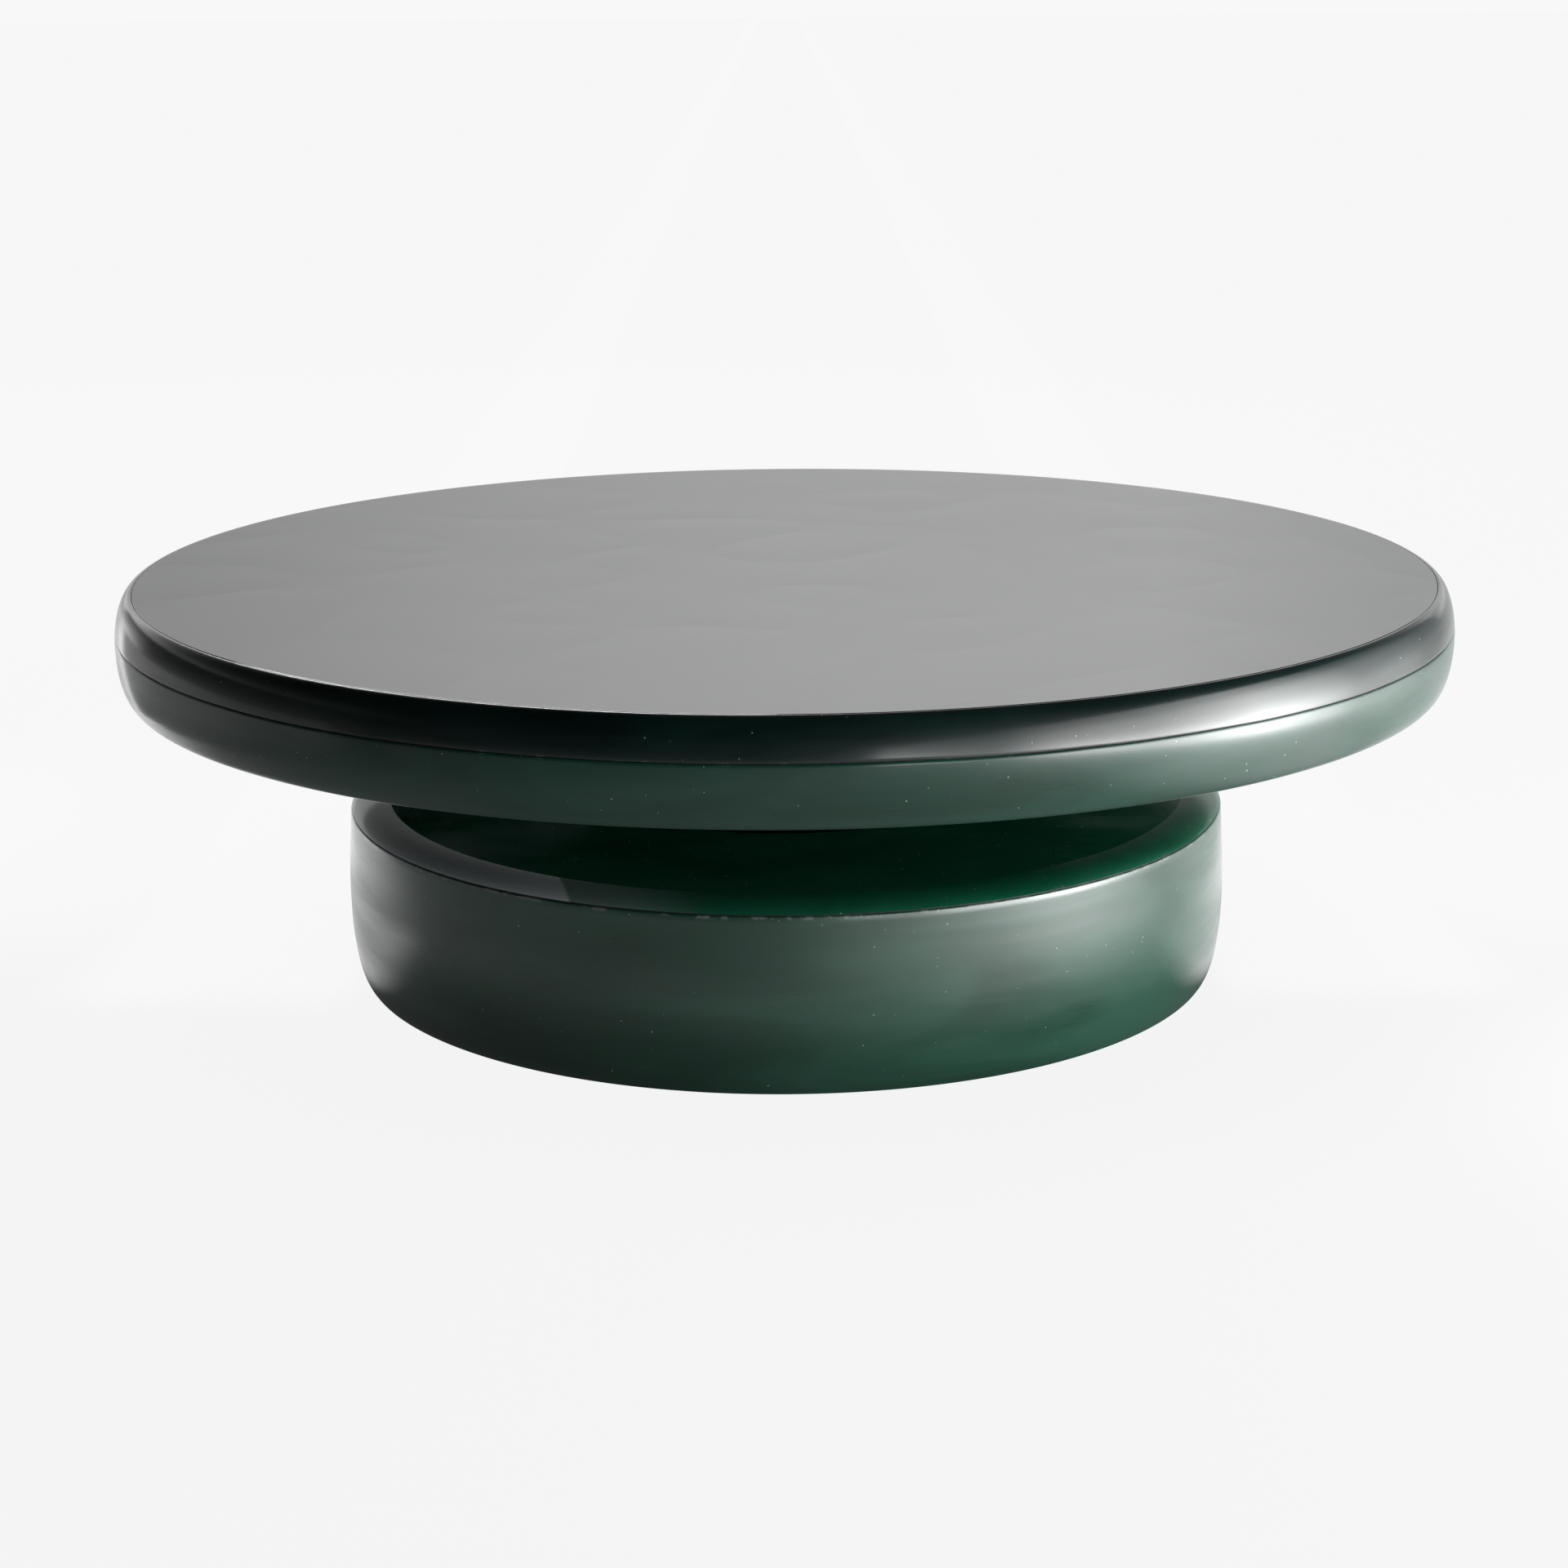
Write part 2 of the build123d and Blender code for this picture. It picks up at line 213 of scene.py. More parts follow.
outside = [(326.5, 4.0), (327.6, 5.6), (328.7, 7.8), (329.3, 9.1), (330.9, 14.0), (332.3, 20.0)]
outside += [(333.5, 27.0), (334.4, 34.0), (334.9, 37.6), (335.6, 46.0), (336.0, 56.0)]
outside += [(336.2, 68.0), (336.1, 78.0), (335.85, 88.0), (335.4, 98.0), (334.9, 106.0)]
outside += [(334.4, 114.0), (334.1, 121.0), (334.07, 121.3), (334.06, 121.6), (333.6, 127.0)]
outside += [(333.42, 131.5), (333.2, 132.15), (332.8, 132.5), (332.4, CAP_UNDER)]
inside = [(327.4, CAP_UNDER), (327.9, 119.0), (329.4, 98.0), (330.2, 68.0)]
inside += [(328.9, 37.6), (326.3, 20.0), (323.3, 9.1), (320.5, 4.0)]
turned_ring(outside + inside)
drum_wall = finish_piece("drum_wall", "table", ("base_wall",))

# ------------------------------------------------------------ the levelling feet
FEET = range(1, 5)
THREAD = 1.25  # mm that the thread climbs in a turn
THREAD_FOOT, THREAD_END = 10.6, 44.5
THREAD_ROWS = 108  # four rows of points in each turn
THREAD_DEEP = 0.68
SHANK = 4  # radius of the threaded shank
NOTCH_FROM = 20.5  # the pad's grip notches are cut outside this radius
NOTCH_CUT = 0.962


def join_shells(shells):
    """Joins finished shells into the first of them."""
    deselect()
    for part in shells:
        part.select_set(True)
    bpy.context.view_layer.objects.active = shells[0]
    bpy.ops.object.join()


def turned_shell(outline, sides):
    """A turned solid that is left in object mode and handed back."""
    turned_solid(outline, sides)
    bpy.ops.object.mode_set(mode="OBJECT")
    return bpy.context.object


# moulded pad: hollow sole, grip notches round the edge, a socket for the stem's ball end
pad = turned_shell(
    [(1, 0.6), (12, 0.6), (12.7, 0.0), (21.2, 0.0), (22, 0.8), (22, 3.8), (21.65, 4.65)]
    + [(20.8, 5.0), (18, 5.0), (17.2, 4.6), (8, 4.6), (7.2, 5.0), (5.05, 5.0), (5.05, 1.5)]
    + [(1, 1.5)],
    120,
)
for vertex in pad.data.vertices:
    # two points in every six are drawn in, three degrees apart
    point = round(math.degrees(math.atan2(vertex.co.y, vertex.co.x)) / 3)
    if math.hypot(vertex.co.x, vertex.co.y) / MM > NOTCH_FROM and point % 6 < 2:
        vertex.co.x *= NOTCH_CUT
        vertex.co.y *= NOTCH_CUT

# stem: turned foot, hexagon for the spanner and a rolled thread
stem_foot = turned_shell([(1, 1.5), (4.6, 1.5), (5, 1.9), (5, 5.1), (1, 5.1)], 48)
hexagon = turned_shell([(1, 5.0), (6.6, 5.0), (7.5, 5.4), (7.5, 8.4), (6.6, 8.8), (1, 8.8)], 6)
rows = [(SHANK, THREAD_FOOT + THREAD / 4 * step) for step in range(THREAD_ROWS + 1)]
shank = turned_shell([(1, 8.6), (SHANK, 8.6)] + rows + [(3.2, 44.8), (1, 44.8)], 24)
for vertex in shank.data.vertices:
    across, along, up = vertex.co / MM
    if THREAD_FOOT + 0.1 < up < THREAD_END and math.hypot(across, along) > 3.5:
        part_turn = (up / THREAD - math.atan2(along, across) / math.tau) % 1
        run_in = min(1, (up - THREAD_FOOT - 0.1) / THREAD)
        depth = THREAD_DEEP * min(1, max(0, 1.5 - abs(part_turn - 0.5) * 4)) * run_in
        vertex.co.x *= 1 - depth / SHANK
        vertex.co.y *= 1 - depth / SHANK
join_shells([shank, stem_foot, hexagon])
stem = bpy.context.object


def set_foot(pattern, name, number):
    """Copies a foot's piece to its own corner, and rides it on its body."""
    low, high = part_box(f"foot_pad_{number}")
    deselect()
    pattern.select_set(True)
    bpy.context.view_layer.objects.active = pattern
    bpy.ops.object.duplicate(linked=False)
    bpy.ops.transform.translate(value=((low[0] + high[0]) / 2, (low[1] + high[1]) / 2, 0))
    place_in_mesh()
    body = f"foot_{name}_{number}"
    return finish_piece(f"{name}_{number}", body, (f"foot_{name}_{number}",))


pads = [set_foot(pad, "pad", number) for number in FEET]
stems = [set_foot(stem, "stem", number) for number in FEET]
for pattern in (pad, stem):
    bpy.data.objects.remove(pattern)


# ------------------------------------------------------------ building with nodes
def node(tree, kind, values=None, links=None, **settings):
    """A node with its settings, its fixed values and what feeds it."""
    made = tree.nodes.new(kind)
    for key, value in settings.items():
        setattr(made, key, value)
    for key, value in (values or {}).items():
        made.inputs[key].default_value = value
    for key, source in (links or {}).items():
        tree.links.new(source, made.inputs[key])
    return made


def feed(tree, item, socket):
    """Links a socket to what feeds it, or sets it to a fixed value."""
    if isinstance(item, (int, float)):
        socket.default_value = item
    else:
        tree.links.new(item, socket)


def calc(tree, operation, first, second=None, third=None, clamp=False):
    """A Math node on up to three values or sockets."""
    made = node(tree, "ShaderNodeMath", operation=operation, use_clamp=clamp)
    for number, item in enumerate((first, second, third)):
        if item is not None:
            feed(tree, item, made.inputs[number])
    return made.outputs[0]


def span(tree, value, low, high, out_low=0.0, out_high=1.0):
    """A smooth change from one value to another over a span."""
    made = node(
        tree,
        "ShaderNodeMapRange",
        {"To Min": out_low, "To Max": out_high},
        {"Value": value},
        interpolation_type="SMOOTHSTEP",
    )
    feed(tree, low, made.inputs["From Min"])
    feed(tree, high, made.inputs["From Max"])
    return made.outputs["Result"]


def split(tree, vector):
    """The X, Y and Z outputs of a vector."""
    return node(tree, "ShaderNodeSeparateXYZ", links={"Vector": vector}).outputs


def flattened(tree, place):
    """A place with its height taken out."""
    return node(tree, "ShaderNodeCombineXYZ", links={"X": place["X"], "Y": place["Y"]}).outputs[0]


def from_axis(tree, place):
    """The distance from the table's upright axis."""
    links = {0: flattened(tree, place)}
    return node(tree, "ShaderNodeVectorMath", links=links, operation="LENGTH").outputs["Value"]


def drawn_out(tree, vector, amount):
    """Coordinates stretched in height, so that a pattern is drawn out sideways."""
    stretch = node(tree, "ShaderNodeCombineXYZ", {"X": 1.0, "Y": 1.0}, {"Z": amount})
    links = {0: vector, 1: stretch.outputs[0]}
    return node(tree, "ShaderNodeVectorMath", links=links, operation="MULTIPLY").outputs[0]


def blend(tree, factor, first, second):
    """Mixes two colours by a mask, each a fixed colour or a socket."""
    made = node(tree, "ShaderNodeMix", data_type="RGBA")
    tree.links.new(factor, made.inputs["Factor"])
    for socket, item in ((made.inputs[6], first), (made.inputs[7], second)):
        if isinstance(item, tuple):
            socket.default_value = item + (1,)
        else:
            tree.links.new(item, socket)
    return made.outputs[2]


def relief(tree, height, distance, below=None):
    """A bump of a height in metres, on top of another if given."""
    made = node(tree, "ShaderNodeBump", {"Distance": distance}, {"Height": height})
    if below is not None:
        tree.links.new(below, made.inputs["Normal"])
    return made.outputs["Normal"]


def level_ramp(tree, value, levels):
    """Brightness against a value from 0 to 1, eased between its stops."""
    ramp = node(tree, "ShaderNodeValToRGB", links={"Fac": value})
    stops = ramp.color_ramp
    while len(stops.elements) < len(levels):
        stops.elements.new(0.5)
    for stop, (at, _) in zip(stops.elements, levels):
        stop.position = at
    for stop, (_, level) in zip(stops.elements, levels):
        stop.color = (level, level, level, 1)
    return ramp.outputs["Color"]


# ------------------------------------------------------------ shared effects
def group(name, inputs, output):
    """A shader node group with named inputs and one output, and its two ends."""
    tree = bpy.data.node_groups.new(name, "ShaderNodeTree")
    for label, value in inputs:
        kind = "NodeSocketVector" if value is None else "NodeSocketFloat"
        socket = tree.interface.new_socket(name=label, in_out="INPUT", socket_type=kind)
        if value is not None:
            socket.default_value = value
    tree.interface.new_socket(name=output, in_out="OUTPUT", socket_type="NodeSocketFloat")
    given, result = tree.nodes.new("NodeGroupInput"), tree.nodes.new("NodeGroupOutput")
    return tree, given.outputs, result.inputs[output]


def make_swirls():
    """Cloudy swirls in poured resin, drawn out sideways."""
    inputs = [("Vector", None), ("Scale", 6.0), ("Drawn Out", 3.0), ("Curl", 1.0)]
    tree, given, result = group("resin_swirls", inputs, "Swirl")
    drawn = drawn_out(tree, given["Vector"], given["Drawn Out"])
    cloud = node(
        tree,
        "ShaderNodeTexNoise",
        {"Detail": 4.0, "Roughness": 0.5},
        {"Vector": drawn, "Scale": given["Scale"], "Distortion": given["Curl"]},
    )
    tree.links.new(span(tree, cloud.outputs["Fac"], 0.32, 0.68), result)


def make_dust():
    """Small bubbles and dust caught in the surface."""
    inputs = [("Vector", None), ("Scale", 55.0), ("Size", 0.03), ("Share", 0.2)]
    tree, given, result = group("caught_dust", inputs, "Fleck")
    links = {"Vector": given["Vector"], "Scale": given["Scale"]}
    cells = node(tree, "ShaderNodeTexVoronoi", links=links)
    pick = node(tree, "ShaderNodeSeparateColor", links={"Color": cells.outputs["Color"]})
    dot = calc(tree, "LESS_THAN", cells.outputs["Distance"], given["Size"])
    kept = calc(tree, "LESS_THAN", pick.outputs["Red"], given["Share"])
    faint = span(tree, pick.outputs["Green"], 0.0, 1.0, 0.25, 1.0)
    fleck = calc(tree, "MULTIPLY", calc(tree, "MULTIPLY", dot, kept), faint)
    tree.links.new(fleck, result)


def make_lines():
    """Fine marks left by polishing round the piece."""
    inputs = [("Vector", None), ("Scale", 30.0), ("Drawn Out", 14.0)]
    tree, given, result = group("polishing_lines", inputs, "Line")
    drawn = drawn_out(tree, given["Vector"], given["Drawn Out"])
    rubbed = node(
        tree,
        "ShaderNodeTexNoise",
        {"Detail": 3.0, "Roughness": 0.6},
        {"Vector": drawn, "Scale": given["Scale"]},
    )
    tree.links.new(rubbed.outputs["Fac"], result)


def make_wear():
    """Chips and rubbed resin along an edge at one height."""
    inputs = [("Vector", None), ("Height", 0.0), ("Width", 0.001), ("Chips", 90.0)]
    tree, given, result = group("edge_wear", inputs + [("Amount", 0.5)], "Wear")
    height = split(tree, given["Vector"])["Z"]
    away = calc(tree, "ABSOLUTE", calc(tree, "SUBTRACT", height, given["Height"]))
    off_edge = calc(tree, "DIVIDE", away, given["Width"])
    close = calc(tree, "SUBTRACT", 1.0, off_edge, clamp=True)
    broken = node(
        tree,
        "ShaderNodeTexNoise",
        {"Detail": 5.0, "Roughness": 0.65},
        {"Vector": given["Vector"], "Scale": given["Chips"]},
    )
    sound = calc(tree, "SUBTRACT", 1.0, given["Amount"])
    chipped = span(tree, broken.outputs["Fac"], sound, calc(tree, "ADD", sound, 0.08))
    tree.links.new(calc(tree, "MULTIPLY", close, chipped), result)


make_swirls()
make_dust()
make_lines()
make_wear()


def effect(tree, name, vector, **values):
    """Places a shared effect in a material with its own values."""
    made = node(tree, "ShaderNodeGroup", node_tree=bpy.data.node_groups[name])
    tree.links.new(vector, made.inputs["Vector"])
    for label, value in values.items():
        made.inputs[label.replace("_", " ")].default_value = value
    return made.outputs[0]


# ------------------------------------------------------------ finishes
NOISE = (0.3, 0.7)  # most of a noise's values lie between these
DUST = (0.42, 0.48, 0.44)
RUBBED = (0.06, 0.09, 0.08)
CHIPPED = (0.13, 0.16, 0.15)
# grey of a painted reflection on the cap's shoulder, not a colour of the resin
PAINTED_REFLECTION_GREY = (0.5, 0.57, 0.58)


def material(name):
    """A new node material, its tree, its shader and its object coordinates."""
    made = bpy.data.materials.new(name)
    made.use_nodes = True
    tree = made.node_tree
    coordinates = tree.nodes.new("ShaderNodeTexCoord")
    return made, tree, tree.nodes["Principled BSDF"], coordinates.outputs["Object"]


def paint(piece, finish):
    """Puts one material on a piece."""
    piece.data.materials.clear()
    piece.data.materials.append(finish)


def cast_resin(name, deep, milky, joints, swirl_scale, haze, coat, sheen, streaked_coat=True):
    """Glossy poured resin with swirls, caught dust and wear beside its joints.

    Each joint is a height, a width, an amount of wear and the worn colour. Haze is the
    body's roughness, coat the clear coat's, and sheen how much the body itself mirrors.
    """
    made, tree, shader, where = material(name)
    swirl = effect(tree, "resin_swirls", where, Scale=swirl_scale, Drawn_Out=3.4, Curl=0.8)
    leaning = node(
        tree,
        "ShaderNodeMapping",
        {"Rotation": (0.1, 0.12, 0.0), "Scale": (1.0, 1.0, 5.5)},
        {"Vector": where},
    )
    streak = node(
        tree,
        "ShaderNodeTexNoise",
        {"Scale": 4.5, "Detail": 1.5, "Roughness": 0.45},
        {"Vector": leaning.outputs[0]},
    ).outputs["Fac"]
    line = effect(tree, "polishing_lines", where, Scale=16.0, Drawn_Out=10.0)
    fleck = effect(tree, "caught_dust", where, Scale=140.0, Size=0.07, Share=0.3)
    pits = effect(tree, "caught_dust", where, Scale=140.0, Size=0.06, Share=0.05)

    colour = blend(tree, swirl, deep, milky)
    colour = blend(tree, fleck, colour, DUST)
    normal = relief(tree, swirl, 0.00001)
    normal = relief(tree, pits, 0.0002, normal)
    from_line = span(tree, line, *NOISE, -0.03, 0.03)
    from_swirl = span(tree, swirl, 0.0, 1.0, haze - 0.02, haze + 0.02)
    rough = calc(tree, "ADD", from_line, from_swirl)
    rough = calc(tree, "ADD", rough, span(tree, streak, *NOISE, 0.055, -0.055))
    for height, width, amount, worn in joints:
        wear = effect(tree, "edge_wear", where, Height=height, Width=width, Amount=amount)
        colour = blend(tree, wear, colour, worn)
        rough = calc(tree, "ADD", rough, calc(tree, "MULTIPLY", wear, 0.25))

    tree.links.new(colour, shader.inputs["Base Color"])
    tree.links.new(rough, shader.inputs["Roughness"])
    tree.links.new(normal, shader.inputs["Normal"])
    if streaked_coat:
        tree.links.new(span(tree, streak, *NOISE, 0.5, 1.0), shader.inputs["Coat Weight"])
    shader.inputs["Coat Roughness"].default_value = coat
    shader.inputs["Specular IOR Level"].default_value = sheen
    return made


def shoulder_reflection_and_coat(finish):
    """A painted grey reflection on the left of the cap's shoulder, stopping short part of the way
    round, with a clear coat there and on the right.
    """
    tree = finish.node_tree
    shader = tree.nodes["Principled BSDF"]
    place = split(tree, node(tree, "ShaderNodeTexCoord").outputs["Object"])
    on_shoulder = span(tree, from_axis(tree, place), 0.3035, 0.3045)
    tilted = calc(tree, "MULTIPLY_ADD", place["Y"], 0.25, place["X"])
    stopped = span(tree, tilted, -0.224, -0.221, 1.0, 0.3)
    fading = span(tree, place["X"], -0.15, -0.04, 1.0, 0.0)
    # haze here is the mask of the painted reflection on the left of the shoulder, and of its clear
    # coat
    haze = calc(tree, "MULTIPLY", on_shoulder, calc(tree, "MULTIPLY", stopped, fading))
    colour = shader.inputs["Base Color"].links[0].from_socket
    # the shoulder's colour turns to a painted grey reflection inside that mask
    tree.links.new(blend(tree, haze, colour, PAINTED_REFLECTION_GREY), shader.inputs["Base Color"])
    on_right = span(tree, place["X"], 0.15, 0.21, 0.0, 0.5)
    coated = calc(tree, "ADD", haze, calc(tree, "MULTIPLY", on_shoulder, on_right))
    tree.links.new(coated, shader.inputs["Coat Weight"])


# painted shade: the upper half gets a darker copy of the rim's resin than the lower half, for the
# dark that it faces above
shaded_upper_resin = cast_resin(
    "rim_upper_resin",
    (0.0022, 0.0095, 0.0085),
    (0.0038, 0.017, 0.015),
    [(0.2808, 0.0005, 0.42, RUBBED), (0.3072, 0.0008, 0.14, RUBBED)],
    swirl_scale=7.0,
    haze=0.34,
    coat=0.15,
    sheen=0.25,
)
lower_resin = cast_resin(
    "rim_lower_resin",
    (0.005, 0.034, 0.021),
    (0.0085, 0.052, 0.034),
    [(0.2792, 0.0005, 0.42, RUBBED), (0.2375, 0.0012, 0.3, RUBBED)],
    swirl_scale=7.0,
    haze=0.34,
    coat=0.15,
    sheen=0.25,
)
wall_resin = cast_resin(
    "wall_resin",
    (0.0065, 0.045, 0.027),
    (0.0125, 0.07, 0.044),
    [
        (0.1315, 0.0019, 0.5, CHIPPED),
        (0.1213, 0.0006, 0.42, RUBBED),
        (0.008, 0.0025, 0.34, RUBBED),
    ],
    swirl_scale=6.0,
    haze=0.34,
    coat=0.16,
    sheen=0.75,
)
# painted light: the cap's resin is made lighter green than the wall's, for light reaching it in the
# gap under the top
cap_resin = cast_resin(
    "cap_resin",
    (0.0042, 0.068, 0.033),
    (0.0095, 0.1, 0.054),
    [(0.134, 0.0008, 0.4, CHIPPED)],
    swirl_scale=8.0,
    haze=0.1,
    coat=0.42,
    sheen=0.05,
    streaked_coat=False,
)
# paints a grey reflection on the left of the cap's shoulder
shoulder_reflection_and_coat(cap_resin)


def polished_disc():
    """The flat disc is polished like black glass, with only faint waves in it."""
    made, tree, shader, where = material("polished_disc_resin")
    waves = node(
        tree,
        "ShaderNodeTexNoise",
        {"Scale": 7.0, "Detail": 1.0, "Roughness": 0.4, "Gain": 1.0, "Offset": 0.9},
        {"Vector": where},
        noise_type="RIDGED_MULTIFRACTAL",
    )
    swirl = effect(tree, "resin_swirls", where, Scale=9.0, Drawn_Out=1.0, Curl=2.0)
    fleck = effect(tree, "caught_dust", where, Scale=40.0, Size=0.022, Share=0.12)
    colour = blend(tree, swirl, (0.006, 0.03, 0.02), (0.009, 0.036, 0.026))
    colour = blend(tree, fleck, colour, (0.01, 0.012, 0.012))
    tree.links.new(colour, shader.inputs["Base Color"])
    tree.links.new(span(tree, swirl, 0.0, 1.0, 0.035, 0.055), shader.inputs["Roughness"])
    tree.links.new(relief(tree, waves.outputs["Fac"], 0.00024), shader.inputs["Normal"])
    return made


def plain_finish(name, dark, light, rough, grain_scale, grain_height, metal=0.0, mirror=0.5):
    """A fine-grained finish that varies a little in tone, roughness and relief."""
    made, tree, shader, where = material(name)
    noise = node(
        tree, "ShaderNodeTexNoise", {"Scale": grain_scale, "Detail": 3.0}, {"Vector": where}
    )
    grain = noise.outputs["Fac"]
    patch = effect(tree, "resin_swirls", where, Scale=11.0, Drawn_Out=1.0, Curl=0.5)
    scuff = effect(tree, "polishing_lines", where, Scale=60.0, Drawn_Out=5.0)
    tone = blend(tree, patch, blend(tree, grain, dark, light), light)
    tree.links.new(tone, shader.inputs["Base Color"])
    scuffed = span(tree, scuff, *NOISE, rough - 0.07, rough + 0.07)
    tree.links.new(scuffed, shader.inputs["Roughness"])
    tree.links.new(relief(tree, grain, grain_height), shader.inputs["Normal"])
    shader.inputs["Metallic"].default_value = metal
    shader.inputs["Specular IOR Level"].default_value = mirror
    return made


def birch_plywood():
    """Birch plywood: long grain on the faces, thin plies on the edges."""
    made, tree, shader, where = material("birch_plywood")
    long_grain = node(
        tree, "ShaderNodeVectorMath", {1: (3.0, 60.0, 60.0)}, {0: where}, operation="MULTIPLY"
    )
    noise = node(
        tree, "ShaderNodeTexNoise", {"Scale": 1.0, "Detail": 5.0}, {"Vector": long_grain.outputs[0]}
    )
    grain = noise.outputs["Fac"]
    plies = node(
        tree,
        "ShaderNodeTexWave",
        {"Scale": 110.0, "Distortion": 0.6, "Detail": 1.0},
        {"Vector": where},
        wave_type="BANDS",
        bands_direction="Z",
    )
    facing = split(tree, node(tree, "ShaderNodeNewGeometry").outputs["True Normal"])
    on_edge = calc(tree, "LESS_THAN", calc(tree, "ABSOLUTE", facing["Z"]), 0.5)
    face_tone = blend(tree, grain, (0.42, 0.29, 0.17), (0.62, 0.47, 0.31))
    edge_tone = blend(tree, plies.outputs["Fac"], (0.3, 0.19, 0.1), (0.6, 0.45, 0.29))
    tree.links.new(blend(tree, on_edge, face_tone, edge_tone), shader.inputs["Base Color"])
    tree.links.new(span(tree, grain, *NOISE, 0.5, 0.7), shader.inputs["Roughness"])
    tree.links.new(relief(tree, grain, 0.0001), shader.inputs["Normal"])
    return made


filler = plain_finish(
    "dark_filler", (0.002, 0.003, 0.0025), (0.005, 0.006, 0.0055), 0.6, 300, 0.0001
)
# a black stain, partly real and partly painted shade: near-black and unreflecting, so the neck and
# the top's underside stay as dark as the shade in the gap
stain_and_shade = plain_finish(
    "black_stain_and_shade", (0.001, 0.0014, 0.0012), (0.002, 0.0025, 0.0022), 0.85, 260, 0.00008, mirror=0.0
)
powder = plain_finish(
    "black_powder_coat", (0.006, 0.007, 0.007), (0.012, 0.013, 0.013), 0.5, 900, 0.00006
)
nylon = plain_finish(
    "moulded_nylon", (0.012, 0.012, 0.013), (0.02, 0.02, 0.021), 0.55, 1400, 0.00003
)
zinc = plain_finish(
    "zinc_plate", (0.5, 0.51, 0.53), (0.68, 0.67, 0.64), 0.3, 700, 0.00001, metal=1.0
)
brass = plain_finish(
    "turned_brass", (0.52, 0.36, 0.14), (0.74, 0.55, 0.27), 0.32, 500, 0.00001, metal=1.0
)
birch = birch_plywood()

paint(tabletop, polished_disc())
paint(base_lid, cap_resin)
paint(rim_upper, shaded_upper_resin)
paint(rim_lower, lower_resin)
paint(drum_wall, wall_resin)
for piece in pads:
    paint(piece, nylon)
for piece in stems:
    paint(piece, zinc)
boards = ["rim_tongue", "core_panel", "hub_block", "top_ribs"]
boards += ["neck_block", "base_panel", "base_ribs"]
looks = {
    filler: ["rim_seam_bead", "base_seam_bead"],
    stain_and_shade: ["neck_sleeve", "under_panel"],
    powder: ["floor_panel", "foot_ring", "access_cover"],
    birch: boards,
    zinc: ["through_bolts", "bolt_washers", "ring_screws", "cover_screws"],
    brass: ["hub_inserts", "foot_inserts"],
}
for finish, names in looks.items():
    for name in names:
        paint(nodes[name], finish)


# ------------------------------------------------------------ floor, light and camera
FLOOR_WIDTH = 120
FLOOR_SEEN = 0.95  # share of a plain pale floor in what the camera sees
BACK_GLOW = 0.62
POOL = (0.85, -0.4, 0.0)  # middle of the bright patch at the front right
GREY_BEHIND = 0.47


def stage_plane(name, width, height, place, turn):
    """A flat stage piece, given its place and turn."""
    deselect()
    bpy.ops.mesh.primitive_plane_add(size=1, location=place, rotation=turn)
    plane = bpy.context.object
    plane.scale = (width, height, 1)
    bpy.ops.object.transform_apply(location=False, rotation=False, scale=True)
    plane.name = name
    return plane


def pale_floor():
    """A pale floor, with a painted shadow under the table, and glowing patches for the gloss to
    mirror.
    """
    made, tree, shader, where = material("pale_floor")
    place = split(tree, where)
    # painted shadow: the floor's colour darkens towards the foot of the table
    scuffed = span(tree, from_axis(tree, place), 0.33, 0.62, 0.07, 0.88)
    tree.links.new(scuffed, shader.inputs["Base Color"])
    shader.inputs["Roughness"].default_value = 0.9
    shader.inputs["Specular IOR Level"].default_value = 0.0

    behind = span(tree, place["Y"], -0.1, 0.16, 0.06, BACK_GLOW)
    from_pool = node(
        tree, "ShaderNodeVectorMath", {1: POOL}, {0: flattened(tree, place)}, operation="DISTANCE"
    )
    pool = span(tree, from_pool.outputs["Value"], 0.12, 0.48, 1.7, 0.0)
    wide = calc(tree, "ABSOLUTE", place["X"])
    clear_of_base = span(tree, wide, 0.31, 0.35, 0.0, 0.78)
    near_base = span(tree, wide, 0.5, 0.6, 1.0, 0.0)
    beside = calc(tree, "MULTIPLY", clear_of_base, near_base)
    beside = calc(tree, "MULTIPLY", beside, span(tree, place["Y"], -0.16, -0.06))
    glow = calc(tree, "MAXIMUM", calc(tree, "MAXIMUM", behind, beside), pool)
    tree.links.new(glow, shader.inputs["Emission Color"])
    shader.inputs["Emission Strength"].default_value = 1.0

    rays = node(tree, "ShaderNodeLightPath")
    seen = calc(tree, "MULTIPLY", rays.outputs["Is Camera Ray"], FLOOR_SEEN)
    pale = node(tree, "ShaderNodeEmission", {"Color": (0.94, 0.94, 0.94, 1), "Strength": 1.0})
    links = {0: seen, 1: shader.outputs["BSDF"], 2: pale.outputs["Emission"]}
    both = node(tree, "ShaderNodeMixShader", links=links)
    tree.links.new(both.outputs[0], tree.nodes["Material Output"].inputs["Surface"])
    return made


def glowing_screen(name, size, place, turn, strength, along, upward):
    """An upright screen whose light changes along its length and up its height."""
    screen = stage_plane(name, *size, place, (math.radians(90), 0, math.radians(turn)))
    screen.visible_camera = False
    glow = bpy.data.materials.new(name + "_glow")
    glow.use_nodes = True
    tree = glow.node_tree
    tree.nodes.clear()
    spot = split(tree, node(tree, "ShaderNodeTexCoord").outputs["Object"])
    light = []
    for axis, length, levels in (("X", size[0], along), ("Y", size[1], upward)):
        share = calc(tree, "MULTIPLY_ADD", spot[axis], 1 / length, 0.5)
        light.append(level_ramp(tree, share, levels))
    both = node(
        tree, "ShaderNodeVectorMath", links={0: light[0], 1: light[1]}, operation="MULTIPLY"
    )
    lamp = node(tree, "ShaderNodeEmission", {"Strength": strength}, {"Color": both.outputs[0]})
    node(tree, "ShaderNodeOutputMaterial", links={"Surface": lamp.outputs["Emission"]})
    paint(screen, glow)


paint(stage_plane("floor", FLOOR_WIDTH, FLOOR_WIDTH, (0, 0, 0), (0, 0, 0)), pale_floor())

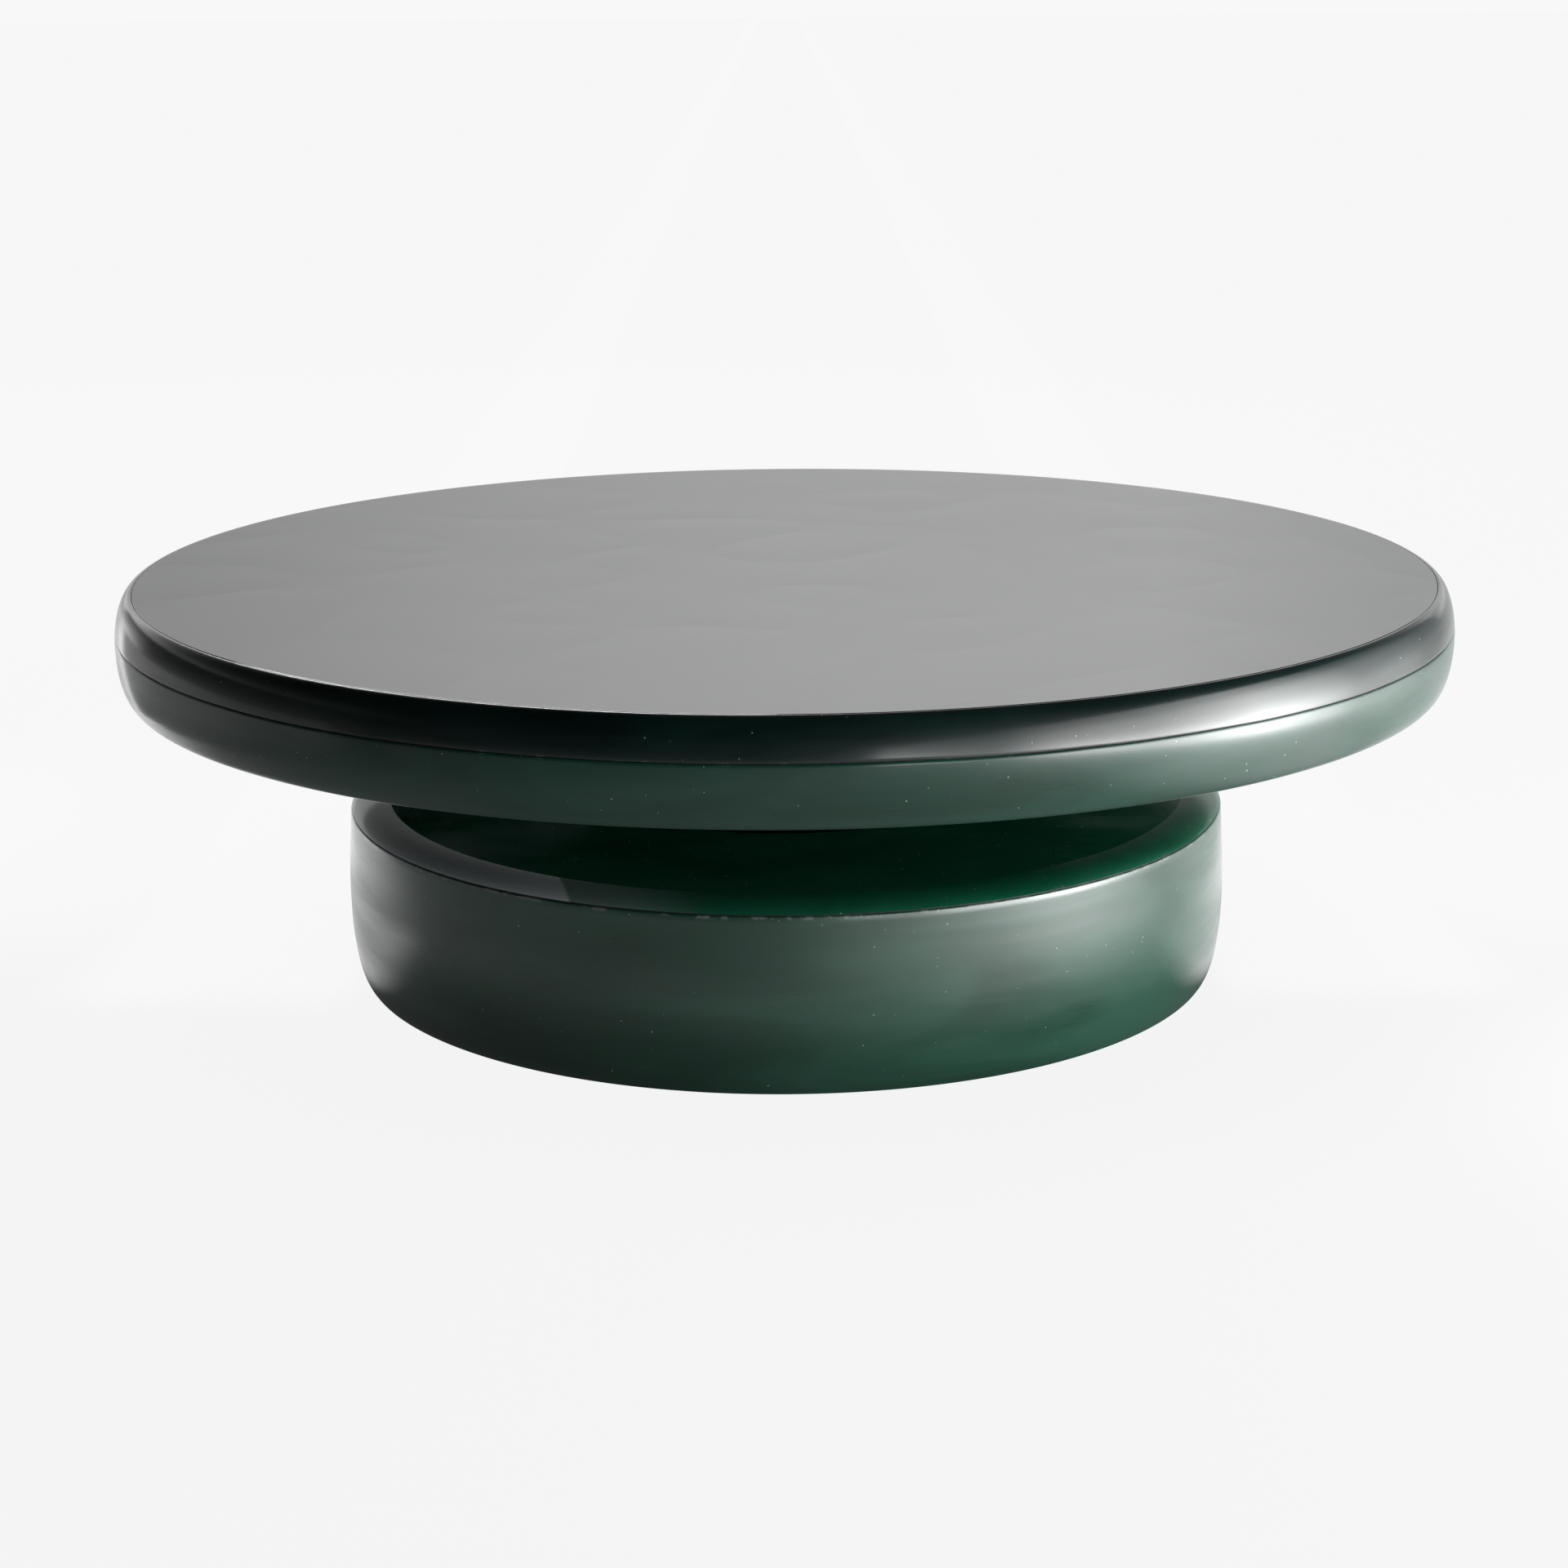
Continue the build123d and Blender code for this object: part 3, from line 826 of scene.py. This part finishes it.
# a long screen on the right, brightest beside the front of the table, and low cards on the left
long_levels = [(0.0, 0.02), (0.07, 0.03), (0.17, 0.12), (0.25, 0.75), (0.33, 0.4)]
long_levels += [(0.42, 0.36), (0.52, 0.1), (0.77, 0.25), (1.0, 0.35)]
tall_levels = [(0.0, 0.72), (0.2, 0.72), (0.3, 0.46), (0.4, 0.34), (0.6, 0.26)]
tall_levels += [(0.75, 0.16), (1.0, 0.12)]
glowing_screen(
    "right_screen",
    size=(7.0, 1.05),
    place=(1.45, -2.3, 0.525),
    turn=-90,
    strength=36.0,
    along=long_levels,
    upward=tall_levels,
)
glowing_screen(
    "left_card",
    size=(1.3, 0.42),
    place=(-0.85, -0.05, 0.21),
    turn=90,
    strength=0.42,
    along=[(0.0, 0.25), (0.15, 0.5), (0.65, 0.5), (0.78, 4.0), (1.0, 4.0)],
    upward=[(0.0, 1.0), (0.45, 1.0), (0.6, 0.7), (0.75, 0.3), (1.0, 0.02)],
)
glowing_screen(
    "low_left_card",
    size=(0.55, 0.14),
    place=(-0.62, -0.2, 0.21),
    turn=90,
    strength=0.35,
    along=[(0.0, 1.0), (1.0, 1.0)],
    upward=[(0.0, 0.5), (0.5, 1.0), (1.0, 1.0)],
)

# a strip light high behind the table, aimed at its top
strip = bpy.data.lights.new("back_strip", "AREA")
strip.shape = "RECTANGLE"
strip.size = 1.6
strip.size_y = 0.25
strip.energy = 25
strip_stand = bpy.data.objects.new("back_strip", strip)
bpy.context.scene.collection.objects.link(strip_stand)
strip_stand.location = (-0.8, 3.4, 2.2)
strip_aim = Vector((0, 0, 0.3)) - strip_stand.location
strip_stand.rotation_euler = strip_aim.to_track_quat("-Z", "Y").to_euler()
strip_stand.visible_camera = False


def light_studio():
    """The studio round about: pale behind, dark overhead and on the camera's side."""
    studio = bpy.data.worlds.new("studio")
    bpy.context.scene.world = studio
    studio.use_nodes = True
    tree = studio.node_tree
    tree.nodes.clear()
    way = split(tree, node(tree, "ShaderNodeTexCoord").outputs["Generated"])
    bearing = calc(tree, "ARCTAN2", way["X"], way["Y"])
    bearing = calc(tree, "MULTIPLY_ADD", bearing, 0.5 / math.pi, 0.5)
    around = [(0.0, 0.02), (0.14, 0.02), (0.2, 0.05), (0.25, 0.15), (0.36, 0.25), (0.4, 0.7)]
    around += [(0.43, 1.2), (0.455, 0.75), (0.467, 0.7), (0.485, 0.9), (0.5, 1.0)]
    around += [(0.52, 1.06), (0.534, 0.88), (0.56, 1.0), (0.6, 1.0), (0.68, 0.8)]
    around += [(0.75, 0.5), (0.85, 0.1), (1.0, 0.03)]
    upward = [(0.0, 0.6), (0.09, 0.55), (0.135, 0.42), (0.155, 0.41), (0.19, 0.5)]
    upward += [(0.23, 0.6), (0.27, 0.55), (0.36, 0.1), (0.5, 0.02)]
    links = {0: level_ramp(tree, bearing, around), 1: level_ramp(tree, way["Z"], upward)}
    lit = node(tree, "ShaderNodeVectorMath", links=links, operation="MULTIPLY")
    rays = node(tree, "ShaderNodeLightPath")
    seen = node(
        tree,
        "ShaderNodeMix",
        {7: (GREY_BEHIND, GREY_BEHIND, GREY_BEHIND, 1)},
        {0: rays.outputs["Is Camera Ray"], 6: lit.outputs[0]},
        data_type="RGBA",
    )
    shine = node(tree, "ShaderNodeBackground", {"Strength": 2.0}, {"Color": seen.outputs[2]})
    node(tree, "ShaderNodeOutputWorld", links={"Surface": shine.outputs["Background"]})


light_studio()

CAMERA_TILT = math.radians(75.4)
CAMERA_ROLL = math.radians(-0.424)
lens = bpy.data.cameras.new("camera")
lens.lens = 71.0
lens.sensor_width = 36.0
camera = bpy.data.objects.new("camera", lens)
bpy.context.scene.collection.objects.link(camera)
turn = Matrix.Rotation(CAMERA_TILT, 4, "X") @ Matrix.Rotation(CAMERA_ROLL, 4, "Z")
camera.location = (-0.0013, -2.3147, 0.7407)
camera.rotation_euler = turn.to_euler()
bpy.context.scene.camera = camera
bpy.context.scene.view_settings.view_transform = "Standard"
